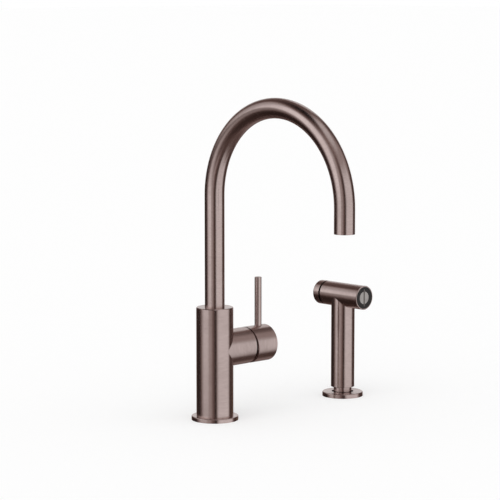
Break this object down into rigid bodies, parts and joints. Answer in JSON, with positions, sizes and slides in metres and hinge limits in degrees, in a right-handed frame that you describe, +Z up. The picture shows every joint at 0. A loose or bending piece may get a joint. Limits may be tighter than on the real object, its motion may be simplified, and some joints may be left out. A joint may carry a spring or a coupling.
{
  "type": "side spray kitchen faucet",
  "caption": "Single-lever kitchen mixer with a high swivelling arch spout, a side lever with an upright rod, and a separate pull-out side spray in its own rosette.",
  "frame": {"origin": "centre of the mixer's foot, on the worktop plane and on the column's axis", "axes": "+Z up out of the worktop, -Y towards the outlet of the spout and the face of the spray, +X towards the lever and the side spray"},
  "size_m": [0.2765, 0.27, 0.4569],
  "materials": {
    "bronze": "satin",
    "raw_brass": "satin",
    "steel": "satin",
    "rubber": "matte",
    "white_plastic": "satin",
    "grey_plastic": "satin",
    "black_plastic": "satin",
    "ceramic": "polished"
  },
  "bodies": {
    "mixer": {"mixer_deck_seal": "rubber", "base_flange": "bronze", "mixer_shank": "raw_brass", "mixer_rubber_washer": "rubber", "mixer_steel_washer": "steel", "mixer_fixing_nut": "raw_brass", "mixer_body": "bronze", "spout_thrust_ring": "white_plastic", "spout_glide_ring": "white_plastic", "spout_collar": "bronze", "spout_catch_screw": "steel", "cartridge_base": "white_plastic", "port_seals": "rubber", "fixed_ceramic_disc": "ceramic", "cartridge_housing": "white_plastic", "cartridge_ring_nut": "raw_brass", "branch_dome": "bronze", "diverter_body": "raw_brass", "diverter_spring": "steel", "spray_deck_seal": "rubber", "spray_rosette": "bronze", "spray_shank": "raw_brass", "spray_rubber_washer": "rubber", "spray_steel_washer": "steel", "spray_fixing_nut": "raw_brass", "hose_guide": "black_plastic"},
    "spout": {"spout_tube": "bronze", "spout_sleeve": "raw_brass", "spout_o_rings": "rubber", "outlet_bush": "raw_brass", "aerator_housing": "black_plastic", "aerator_insert": "white_plastic", "aerator_washer": "rubber"},
    "rotor": {"cartridge_rotor": "grey_plastic", "lever_pivot_pin": "steel"},
    "lever": {"lever_stem": "raw_brass", "lever_hub": "bronze", "lever_rod": "bronze", "lever_grub_screw": "steel"},
    "disc": {"moving_ceramic_disc": "ceramic"},
    "diverter": {"diverter_piston": "white_plastic"},
    "hose_end": {"hose_connector": "raw_brass", "connector_o_ring": "rubber"},
    "handset": {"handset_body": "bronze", "connector_clip": "steel", "spray_face": "black_plastic", "spray_face_disc": "grey_plastic", "valve_seat": "raw_brass", "button_guide": "black_plastic", "button_spring": "steel"},
    "button": {"spray_button": "bronze", "valve_stem": "raw_brass", "valve_seal": "rubber"}
  },
  "joints": [
    {"name": "spout_swivel", "type": "hinge", "parent": "mixer", "child": "spout", "pos_m": [0, 0, 0.2], "axis": [0, 0, 1], "continuous": true},
    {"name": "temperature", "type": "hinge", "parent": "mixer", "child": "rotor", "pos_m": [0, 0, 0.0855], "axis": [1, 0, 0], "range_deg": [-45, 45]},
    {"name": "flow", "type": "hinge", "parent": "rotor", "child": "lever", "pos_m": [0.03303, 0, 0.0855], "axis": [0, 1, 0], "range_deg": [0, 22]},
    {"name": "disc_slide", "type": "slide", "parent": "rotor", "child": "disc", "axis": [0, 0, 1], "range_m": [0, 0.003]},
    {"name": "diverter_shift", "type": "slide", "parent": "mixer", "child": "diverter", "axis": [0, 0, 1], "range_m": [0, 0.0025], "stiffness_N_per_m": 60, "springref_m": -0.001, "deforming": ["diverter_spring"]},
    {"name": "spray_lift", "type": "slide", "parent": "mixer", "child": "hose_end", "axis": [0, 0, 1], "range_m": [0, 0.25]},
    {"name": "spray_turn", "type": "hinge", "parent": "hose_end", "child": "handset", "pos_m": [0.222, 0, 0], "axis": [0, 0, 1], "continuous": true},
    {"name": "button_press", "type": "slide", "parent": "handset", "child": "button", "axis": [0, -1, 0], "range_m": [0, 0.002], "stiffness_N_per_m": 1500, "springref_m": -0.001, "deforming": ["button_spring"]}
  ],
  "couplings": [
    {"joint": "disc_slide", "follows": "flow", "m_per_rad": 0.0078}
  ]
}
